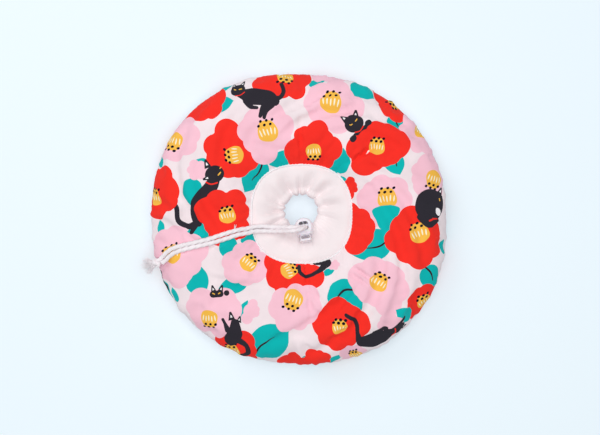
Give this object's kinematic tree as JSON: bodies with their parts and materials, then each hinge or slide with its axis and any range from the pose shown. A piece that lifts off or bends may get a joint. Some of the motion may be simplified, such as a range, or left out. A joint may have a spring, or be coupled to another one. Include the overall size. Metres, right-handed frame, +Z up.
{
  "type": "elizabethan collar",
  "caption": "Soft stuffed ring collar for a pet's neck, with a printed cover, a gathered white neck sleeve and a drawstring held by a spring cord lock.",
  "frame": {"origin": "bottom centre of the ring's own box, without the drawstring's tails, on the surface that the collar lies on", "axes": "+Z up through the neck hole, +Y towards the rim that is farther from the lock's plunger, +X to the right, away from the knot"},
  "size_m": [0.3095, 0.2928, 0.0566],
  "materials": {
    "printed_cloth": "matte",
    "white_cloth": "matte",
    "fibre": "matte",
    "thread": "matte",
    "cord": "matte",
    "white_plastic": "gloss",
    "spring_steel": "satin"
  },
  "bodies": {
    "collar": {"front_cover": "printed_cloth", "back_cover": "printed_cloth", "stuffing_ring": "fibre", "rim_seam": "thread", "closing_stitches": "thread", "neck_sleeve_front": "white_cloth", "neck_sleeve_back": "white_cloth", "sleeve_seam_front": "thread", "sleeve_seam_back": "thread", "casing_stitches": "thread", "buttonhole": "thread", "drawstring_loop": "cord", "drawstring_tail_upper": "cord", "drawstring_tail_lower": "cord", "end_knot": "cord", "tassel": "cord", "lock_barrel": "white_plastic", "lock_spring": "spring_steel"},
    "plunger": {"lock_plunger": "white_plastic"}
  },
  "joints": [
    {"name": "plunger_press", "type": "slide", "parent": "collar", "child": "plunger", "axis": [-0.1488, 0.9393, -0.309], "range_m": [0, 0.0035], "stiffness_N_per_m": 600, "springref_m": -0.002, "deforming": ["lock_spring"]}
  ]
}
